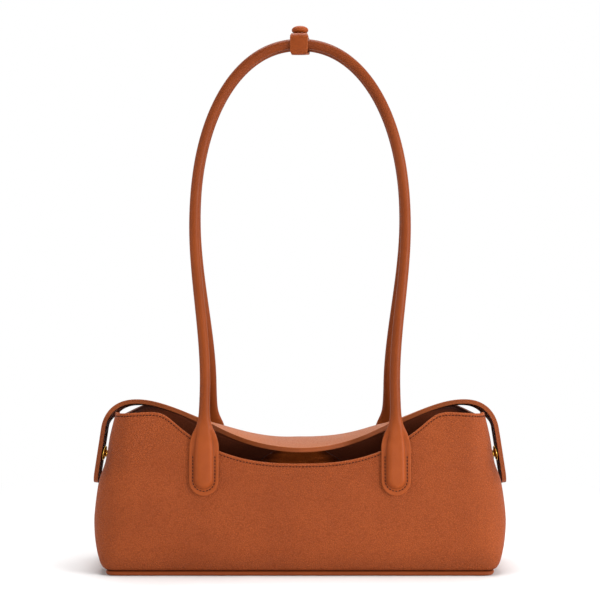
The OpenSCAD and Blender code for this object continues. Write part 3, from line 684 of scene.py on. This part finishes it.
def flapOut(s):  # outward direction of the top side
    if s >= 2:
        return earOut
    if s < 0.004:
        return 0.0, 1.0
    a, b = flapSpot(s - 0.004), flapSpot(min(2, s + 0.004))
    way = Vector((b[0] - a[0], b[1] - a[1])).normalized()
    return -way.y, way.x


sagCells, bendCells, earCells = 84, 52, 40
flapCells = 2 * (sagCells + bendCells + earCells)


def flapStation(v):  # v runs from the left ear's end to the right ear's
    cell = abs(v - 0.5) * flapCells
    if cell <= sagCells:
        s = cell / sagCells
    elif cell <= sagCells + bendCells:
        s = 1 + (cell - sagCells) / bendCells
    else:
        s = 2 + min(1, (cell - sagCells - bendCells) / earCells)
    return s, (-1 if v < 0.5 else 1)


def plyPlace(depth):
    def place(u, v):
        s, side = flapStation(v)
        x, z, half = flapSpot(s)
        across = 1 - 2 * u
        out = flapOut(s)
        wide = clamp((half - flap["strapHalf"]) / (flap["leafHalf"] - flap["strapHalf"]))
        waves = ripple(side * x, across * half, 0, flap["waveSize"]) * ease(half / 4) * clamp((2.2 - s) / 0.4)
        curl = ease((s - 0.42) / 0.36) * ease((2 - s) / 0.4) * ((1 + across) / 2) ** 1.6
        lift = flap["crown"] * (1 - across * across) * wide + flap["waves"] * waves - flap["curl"] * curl
        return side * (x - out[0] * (depth - lift)), across * half, z - out[1] * (depth - lift)
    return place


def plyWear(u, v):  # the long edges
    half = flapSpot(flapStation(v)[0])[2]
    return 0.35 * math.exp(-((1 - abs(1 - 2 * u)) * half) ** 2)


def cutPiece(bm, planes):  # keeps what lies in front of each plane, with the cut closed
    part = bm.copy()
    for spot, way in planes:
        bmesh.ops.bisect_plane(part, geom=part.verts[:] + part.edges[:] + part.faces[:], dist=0.000001,
                               plane_co=Vector(spot) * mm, plane_no=way, clear_inner=True)
        bmesh.ops.holes_fill(part, edges=[e for e in part.edges if e.is_boundary])
    return part


# the top ply's pale leather is a painted sheen
for ply, depth, finishes in (("Top", 0.0, [strapLeatherWithSheen, strapEdge]),
                             # the underside's dark leather is painted shade
                             ("Underside", flap["thick"] / 2, [suedeSideShaded, strapEdge])):
    whole = gridOf(34, flapCells, plyPlace(depth), plyWear)
    bmesh.ops.remove_doubles(whole, verts=whole.verts[:], dist=0.00003)
    whole.normal_update()
    thicken(whole, flap["thick"] / 2, 0.42, 3)
    wing, ear = flap["wingCut"], flap["earCut"]
    node = ply.lower()
    middle = cutPiece(whole, [((-wing, 0, 0), (1, 0, 0)), ((wing, 0, 0), (-1, 0, 0))])
    finishPiece("flap" + ply, middle, finishes, "flap", ["flap_" + node])
    for side, word in ((-1, "left"), (1, "right")):
        part = cutPiece(whole, [((side * wing, 0, 0), (side, 0, 0)), ((side * ear, 0, 0), (-side, 0, 0))])
        piece = finishPiece(word + "Wing" + ply, part, finishes, None, [word + "_wing_" + node])
        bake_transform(piece)
        part = cutPiece(whole, [((side * ear, 0, 0), (side, 0, 0))])
        piece = finishPiece(word + "Ear" + ply, part, finishes, None, [word + "_ear_" + node])
        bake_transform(piece)
    whole.free()
print("flap made")


hinge = {  # half widths, heights and depths run from the strip's foot on the lining to its end under the flap
    "thick": 1.2, "crease": 0.9, "belly": 1.4, "free": 0.38,  # below free it is sewn to the lining
    "halves": [(0.0, 33), (0.42, 33), (0.7, 14), (1.0, 15)],
    "heights": [(0.0, 58.0), (0.2, 66.0), (0.38, 73.5), (0.56, 82.5), (0.7, 89.6), (0.76, 91.9), (0.86, 92.0),
                (1.0, 92.0)],
    "depths": [(0.0, 47.0), (0.2, 46.6), (0.38, 45.6), (0.56, 41.4), (0.7, 37.6), (0.76, 35.4), (0.86, 30.0),
               (1.0, 23.8)],
}


def hingeShade(u, v):  # painted shade where it turns away at its sides and up under the flap
    return 0.9 * ease((abs(2 * u - 1) - 0.45) / 0.5) + 0.6 * ease((v - 0.6) / 0.14) * (1 - abs(2 * u - 1))


def hingePlace(u, v):
    half = curveAt(hinge["halves"], v)
    x = (1 - 2 * u) * half
    z, y = curveAt(hinge["heights"], v), curveAt(hinge["depths"], v)
    if v < hinge["free"]:
        y = halfDepth(z) - inside - hinge["thick"] - 0.05
    soft = ease(v / 0.4) * ease((0.8 - v) / 0.15)
    fold = ripple(x * 0.5, v * 160, 0, 9) + 0.5 * ripple(x, v * 220, 4, 5)
    y -= hinge["crease"] * soft * fold + hinge["belly"] * soft * (1 - (x / half) ** 2)
    y += hinge["thick"] * (1 - ease((v - hinge["free"]) / 0.3))
    z += 0.4 * hinge["crease"] * soft * fold + (sagHeight(x) - flap["height"]) * ease((v - 0.5) / 0.25)
    return x, y, z


strip = thicken(gridOf(60, 110, hingePlace, toneAndShade=hingeShade), hinge["thick"], 0.3)
# the strip's lightened leather is painted light, and its dark edges painted shade
piece = finishPiece("hingeStrip", strip, [creasedLeatherPaintedLight, suedeSideShaded], None, ["hinge_strip", "hinge_leaf"])
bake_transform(piece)
print("flap hinge made")


handle = {
    "radius": 4.0, "tabX": 72.1, "tabLow": 61.17, "tabRound": 11.2, "rootZ": 102.37, "rootY": 49.73,
    "legZ": 126.07, "legY": 43.65, "legSlope": -8.44,  # where the leg's even lean begins
    "leanFrom": 118.07, "leanLength": 183.93, "bowFrom": 140.37, "bow": 10.6, "pairY": 4.5,
    "archZ": 268.0, "archRise": 140.5, "archPower": 2.15,
    "tabThick": 1.8, "padCentre": 73.6, "stitchCentre": 72.9, "stitchSide": 8.35, "stitchTop": 91.2,
    "outline": [(60, 11.2), (97, 11.2), (100.5, 10.8), (103.5, 10.05), (106.7, 9.0), (110, 7.5), (113, 6.1),
                (115.5, 5.25), (119, 4.6), (124, 4.2), (134, 4.0)],
    "padding": [(60, 7.1), (92, 7.1), (97, 6.85), (103, 6.0), (109, 5.0), (116, 4.6), (124, 4.15), (134, 4.0)],
}


def legX(z):
    return handle["tabX"] + handle["bow"] * ease((z - handle["bowFrom"]) / (handle["archZ"] - handle["bowFrom"]))


def leanShare(z):
    return max(0, 1 - (z - handle["leanFrom"]) / handle["leanLength"]) ** 1.6


def handleY(z):
    if z >= handle["legZ"]:
        reach = handle["legY"] - handle["pairY"]
        return handle["pairY"] + reach * leanShare(z) / leanShare(handle["legZ"])
    t = max(0, (z - handle["rootZ"]) / (handle["legZ"] - handle["rootZ"]))
    return mix(handle["rootY"], handle["legY"], 3 * t * t - 2 * t ** 3) + handle["legSlope"] * (t ** 3 - t * t)


def archSpot(turn):
    a = math.radians(turn)
    z = handle["archZ"] + handle["archRise"] * max(0, math.sin(a)) ** (2 / handle["archPower"])
    x = (handle["tabX"] + handle["bow"]) * max(0, math.cos(a)) ** (2 / handle["archPower"])
    return Vector((x, -handleY(z), z))


def panelFace(x, z, back):  # how far the panel's face lies from the middle of the bag
    return halfDepth(z) + 0.02 + softPush(-x if back else x, halfDepth(z) * (1 if back else -1), z)


def halfOutline(z):
    low = handle["tabLow"] + handle["tabRound"]
    if z < low:
        return math.sqrt(max(0, handle["tabRound"] ** 2 - (low - z) ** 2))
    return curveAt(handle["outline"], z)


def totalThick(z):  # thinner where the handle bends at its root
    if z < handle["rootZ"]:
        return 4.7 + 0.4 * ease((101 - z) / 8)
    return 2 * (handle["radius"] - 1.65 * math.exp(-((z - handle["rootZ"]) / 9) ** 2))


def handleStations():  # right half: tab from its round end upward, leg, arch up to the crown
    low, r = handle["tabLow"], handle["tabRound"]
    tab = [low + r * (1 - math.cos(math.radians(a))) for a in range(0, 90, 5)]
    tab += [low + r + k * 1.05 for k in range(28)]
    leg = [102.4 + k for k in range(28)] + [130.5 + k * 2.55 for k in range(54)]
    spots = [Vector((handle["tabX"], 0, z)) for z in tab] + [Vector((legX(z), -handleY(z), z)) for z in leg]
    return spots + [archSpot(a) for a in (1, 2.5, 4.5)] + [archSpot(7 + k * 83 / 44) for k in range(45)]


rightSpots = handleStations()
spotCount = len(rightSpots)
handleCells = 2 * spotCount - 2


def handleStation(v):  # v runs from the left tab's end over the crown to the right tab's
    cell = round(v * handleCells)
    left = cell < spotCount - 1
    return (cell if left else handleCells - cell), left


def fromCentre(across, z, centre):  # the tab's pad and stitches run straight down, then round a centre
    return abs(across) if z >= centre else math.hypot(across, centre - z)


def tabHeight(across, edge, z, front):  # tab section: height over the panel
    flange = handle["tabThick"]
    bulge = math.sqrt(max(0, 1 - (1 - clamp(edge / 0.75)) ** 2))
    if not front:
        return flange / 2 * (1 - bulge)
    wide = min(curveAt(handle["padding"], z), max(0.02, halfOutline(z)) - 0.01)
    if z < handle["padCentre"]:
        wide = handle["padding"][0][1]
    padShare = fromCentre(across, z, handle["padCentre"]) / wide
    height = flange / 2 * (1 + bulge) + (totalThick(z) - flange) * max(0, 1 - padShare ** 4.5) ** 0.62
    if z < handle["stitchTop"] + 1.5:
        groove = fromCentre(across, z, handle["stitchCentre"]) - handle["stitchSide"]
        height -= 0.22 * math.exp(-(groove / 0.45) ** 2)
    return height


def handleFrame(k):  # the tab and its root stand upright, and the rest follows the handle's line
    spot, up = rightSpots[k], Vector((0, 0, 1))
    way = up
    if spot.z > 104:
        before = rightSpots[k - 1]
        after = rightSpots[k + 1] if k + 1 < spotCount else Vector((-before.x, spot.y, before.z))
        way = up.lerp((after - before).normalized(), ease((spot.z - 104) / 14)).normalized()
    lateral = Vector((0, 1, 0)).cross(way).normalized()
    return spot, lateral, lateral.cross(way)


frames = [handleFrame(k) for k in range(spotCount)]


def handlePlace(back):
    def place(u, v):
        k, left = handleStation(v)
        spot, lateral, front = frames[k]
        z = spot.z
        half, thick = halfOutline(z), totalThick(z) / 2
        across, swell = math.cos(math.tau * u) * half, math.sin(math.tau * u)
        if z < 117:
            tab = tabHeight(across, half - abs(across), z, swell >= 0) / thick - 1
            swell = mix(tab, swell, ease((z - 101) / 14))
        middle = handleY(z)
        if z < 108:
            x = handle["tabX"] + across
            face = panelFace(-x if left else x, min(z, 100), back) - (halfDepth(min(z, 100)) - halfDepth(z))
            middle = mix(face + thick, middle, ease((z - 99) / 7))
        at = Vector((spot.x, -middle, z)) + lateral * across + front * thick * swell
        if left:
            at.x = -at.x
        return (-at.x, -at.y, at.z) if back else tuple(at)
    return place


def handleWear(u, v):  # the tabs' edges
    z = frames[handleStation(v)[0]][0].z
    edge = halfOutline(z) * (1 - abs(math.cos(math.tau * u)))
    return 0.35 * math.exp(-(edge / 0.8) ** 2) * ease((108 - z) / 6)


def handleToneAndShade(u, v):  # darker up the handle, with painted shade along the tabs' edges and in the crease round each pad
    z = frames[handleStation(v)[0]][0].z
    half = halfOutline(z)
    across = math.cos(math.tau * u) * half
    off = fromCentre(across, z, handle["padCentre"]) - curveAt(handle["padding"], z)
    crease = math.exp(-((off - 0.2) / 0.4) ** 2) if math.sin(math.tau * u) > 0 else 0
    low = 0.6 * math.exp(-((half - abs(across)) / 0.28) ** 2) + 0.4 * crease
    return 0.36 * ease((z - 100) / 28) + 0.08 * ease((z - 300) / 90) + low * ease((110 - z) / 8)


def tabStitchLine(side, back):
    r, centre, top = handle["stitchSide"], handle["stitchCentre"], handle["stitchTop"]
    run = (top, 88, 84, 80, 76)
    path = [(r, z) for z in run]
    path += [(r * math.cos(math.radians(a)), centre - r * math.sin(math.radians(a))) for a in range(0, 181, 6)]
    path += [(-r, z) for z in run[::-1]]
    line, turn = [], -1 if back else 1
    for across, z in path:
        x = side * handle["tabX"] + across
        y = panelFace(x, z, back) + handle["tabThick"] - 0.02
        line.append((Vector((turn * x, -turn * y, z)), Vector((0, -turn, 0))))
    return line


for back, word in ((False, "front"), (True, "back")):
    bm = gridOf(96, handleCells, handlePlace(back), handleWear, handleToneAndShade)
    bmesh.ops.remove_doubles(bm, verts=bm.verts[:], dist=0.00001)
    bmesh.ops.recalc_face_normals(bm, faces=bm.faces[:])
    nodes = [word + ending for ending in ("_handle", "_handle_core", "_left_tab", "_right_tab", "_left_tab_pad",
                                          "_right_tab_pad")]
    piece = finishPiece(word + "Handle", bm, [smoothLeather], None, nodes, 1.4)
    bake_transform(piece)
for back, word in ((False, "front"), (True, "back")):
    for side, hand in ((-1, "Left"), (1, "Right")):
        sewLine(word + hand + "TabStitches", tabStitchLine(side, back))
print("handles made")


keeper = {  # paths run through (depth, height) points in the middle of the bag
    "half": 7.0, "thick": 1.8, "dome": 0.22, "turn": -5.0, "toneAndShade": 0.24, "rounding": 1.5,
    "necks": [(400.3, 0.9, 1.3), (415.9, 0.7, 1.4)],  # height, how much narrower, over what height
    "strap": [(-7.6, 413.75), (7.6, 413.75), (9.3, 413.0), (10.1, 411.4), (10.1, 404.9), (8.2, 403.2),
              (-5.0, 400.9)],
    "tab": [(-5.0, 400.9), (-8.4, 400.4), (-10.1, 402.0), (-10.1, 412.2), (-9.4, 414.4), (-7.2, 415.8),
            (6.9, 415.85)],
    "buttonFoot": (0, 0, 416.7),
}


def pathPoint(path, t):  # along straight runs with the corners rounded by averaging
    lengths = runLengths(path)

    def at(d):
        k, share = runSpot(lengths, clamp(d, 0, lengths[-1]))
        return mix(path[k][0], path[k + 1][0], share), mix(path[k][1], path[k + 1][1], share)

    middle = t * lengths[-1]
    reach = min(keeper["rounding"], middle, lengths[-1] - middle)
    spots = [at(middle + reach * k / 4) for k in range(-4, 5)]
    return sum(s[0] for s in spots) / 9, sum(s[1] for s in spots) / 9


def keeperBand(name, path, node, body=None):
    def place(u, v):
        y, z = pathPoint(path, v)
        ya, za = pathPoint(path, max(0, v - 0.01))
        yb, zb = pathPoint(path, min(1, v + 0.01))
        way = Vector((yb - ya, zb - za)).normalized()
        across = 2 * u - 1
        out = keeper["thick"] / 2 + keeper["dome"] * (1 - across ** 2)
        narrow = sum(less * math.exp(-((z - height) / over) ** 2) for height, less, over in keeper["necks"])
        return across * (keeper["half"] - narrow), y - way.y * out, z + way.x * out

    def wear(u, v):
        return 0.5 * math.exp(-((1 - abs(2 * u - 1)) * keeper["half"] / 0.7) ** 2)

    bm = thicken(gridOf(16, 90, place, wear, lambda u, v: keeper["toneAndShade"]), keeper["thick"], 0.5, 3)
    bmesh.ops.transform(bm, matrix=Matrix.Rotation(math.radians(keeper["turn"]), 4, "Z"), verts=bm.verts[:])
    return finishPiece(name, bm, [smoothLeather, edgePaint], body, [node])


keeperBand("keeperStrap", keeper["strap"], "keeper_strap", "back_handle")
piece = keeperBand("keeperTab", keeper["tab"], "keeper_tab")
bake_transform(piece)


def lathe(name, profile, spot, way, finish, body, node, sides=48):  # profile is (radius, height) in mm
    bm = bmesh.new()
    spots = [bm.verts.new((r * mm, 0, h * mm)) for r, h in profile]
    edges = [bm.edges.new(pair) for pair in zip(spots, spots[1:])]
    bmesh.ops.spin(bm, geom=spots + edges, cent=(0, 0, 0), axis=(0, 0, 1), angle=math.tau, steps=sides,
                   use_merge=True)
    bmesh.ops.remove_doubles(bm, verts=bm.verts[:], dist=0.000005)
    bmesh.ops.recalc_face_normals(bm, faces=bm.faces[:])
    turned = Vector(way).to_track_quat("Z", "Y").to_matrix().to_4x4()
    bmesh.ops.transform(bm, matrix=Matrix.Translation(Vector(spot) * mm) @ turned, verts=bm.verts[:])
    finishPiece(name, bm, [finish], body, [node])


buttonProfile = [(0, 1.0), (3.6, 1.0), (4.9, 1.25), (5.9, 1.9), (6.45, 2.7), (6.6, 3.5), (6.35, 4.4), (5.6, 5.25),
                 (4.4, 5.95), (3.0, 6.4), (1.5, 6.62), (0, 6.68)]
shankProfile = [(0, 0), (2.4, 0), (2.4, 0.25), (1.8, 0.4), (1.7, 0.9), (1.8, 1.2), (0, 1.2)]
lathe("keeperButton", buttonProfile, keeper["buttonFoot"], (0, 0, 1), smoothLeather, "keeper_tab",
      "keeper_button", 64)
lathe("keeperShank", shankProfile, keeper["buttonFoot"], (0, 0, 1), brass, "keeper_tab", "keeper_shank")
print("keeper made")


snap = {  # profiles are (radius, height above the gusset's face)
    "foot": (150.724, 86.7), "out": (0.97795, 0.20882),
    "stud": [(0, 0.05), (4.9, 0.05), (5.3, 0.2), (5.2, 0.6), (4.4, 0.85), (3.1, 0.95), (2.6, 1.1),
             (2.7, 1.35), (2.6, 1.7), (2.1, 1.9), (0, 1.95)],
    "washer": [(0, -2.5), (5.8, -2.5), (6.0, -2.62), (6.0, -2.95), (5.6, -3.2), (4.2, -3.3), (3.6, -3.2),
               (2.4, -3.28), (0, -3.3)],
    "socket": [(0, 3.95), (5.3, 3.95), (5.6, 3.8), (5.6, 3.0), (5.2, 2.5), (4.3, 2.2), (3.3, 2.35),
               (2.95, 2.7), (2.9, 3.1), (1.4, 3.2), (0, 3.2)],
}
for side, word in ((-1, "left"), (1, "right")):
    foot = (side * snap["foot"][0], 0, snap["foot"][1])
    way = (side * snap["out"][0], 0, snap["out"][1])
    for part, body in (("stud", "bag"), ("washer", "bag"), ("socket", word + "_ear")):
        name, node = word + "Snap" + part.capitalize(), word + "_snap_" + part
        lathe(name, snap[part], foot, way, brass, body, node)
print("snaps made")


stage = {
    "floor": 6.0, "fadeFrom": 0.22, "fadeTo": 0.55,  # the floor fades to white round the bag's shadow
    "worldLight": 0.2, "white": (1.0, 1.0, 1.0, 1.0), "camera": (0, -1.05, 0.20775), "lens": 80,
}
lamps = {
    "frontSoft": {"spot": (0.1, -2.0, 0.265), "aim": (0, 0, 0.09), "size": 0.3, "power": 6.5},
    "keySoft": {"spot": (0.3, -1.7, 1.1), "aim": (0, 0, 0.12), "size": 0.8, "power": 1},
    "leftSoft": {"spot": (-1.3, -0.7, 0.5), "aim": (0, 0, 0.08), "size": 0.9, "power": 7},
    "rightSoft": {"spot": (1.25, -0.75, 0.45), "aim": (0, 0, 0.08), "size": 0.7, "power": 23},
    "topSoft": {"spot": (0, 0.15, 1.4), "aim": (0, 0, 0.15), "size": 1.0, "power": 20},
}


def floorPaper():  # pale paper that takes the shadow, seen white by the camera further out
    f = Finish("studioFloor")
    spot = f.node("TexCoord", out="Object")
    paper = f.node("TexNoise", None, {"Vector": spot, "Scale": 6.0})
    shade = f.blendColour(paper, (0.9, 0.9, 0.9, 1), (0.92, 0.92, 0.92, 1))
    matt = f.node("BsdfPrincipled", None, {"Base Color": shade, "Roughness": 0.9, "Specular IOR Level": 0.1})
    away = f.node("VectorMath", {"operation": "LENGTH"}, {0: spot}, out=1)
    far = f.node("MapRange", {"interpolation_type": "SMOOTHSTEP"},
                 {"Value": away, "From Min": stage["fadeFrom"], "From Max": stage["fadeTo"]})
    glow = f.node("Emission", None, {"Color": stage["white"], "Strength": 1.0})
    seen = f.node("LightPath", out="Is Camera Ray")
    return f.close(f.node("MixShader", None, {0: seen * far, 1: matt, 2: glow}))


bm = bmesh.new()
bmesh.ops.create_grid(bm, x_segments=8, y_segments=8, size=stage["floor"])
finishPiece("studioFloor", bm, [floorPaper()])

scene = bpy.context.scene
scene.world = bpy.data.worlds.new("studioWorld")
sky = Finish("studioWorld", scene.world)
seen = (sky.node("LightPath", out="Is Camera Ray") + sky.node("LightPath", out="Is Glossy Ray")
        + sky.node("LightPath", out="Is Transmission Ray"))
level = sky.node("MapRange", None, {"Value": seen, "To Min": stage["worldLight"], "To Max": 1.0})
glow = sky.node("Background", None, {"Color": stage["white"], "Strength": level})
sky.node("OutputWorld", None, {"Surface": glow})

for name, look in lamps.items():
    light = bpy.data.lights.new(name, "AREA")
    light.energy, light.shape, light.size = look["power"], "SQUARE", look["size"]
    lamp = bpy.data.objects.new(name, light)
    lamp.location = look["spot"]
    lamp.rotation_euler = (Vector(look["aim"]) - Vector(look["spot"])).to_track_quat("-Z", "Y").to_euler()
    scene.collection.objects.link(lamp)

camera = bpy.data.objects.new("camera", bpy.data.cameras.new("camera"))
camera.data.lens, camera.data.sensor_width = stage["lens"], 36
camera.data.clip_start, camera.data.clip_end = 0.05, 30
camera.location = stage["camera"]
camera.rotation_euler = (math.pi / 2, 0, 0)
scene.collection.objects.link(camera)
scene.camera = camera
scene.view_settings.view_transform = "Standard"
print("stage made")
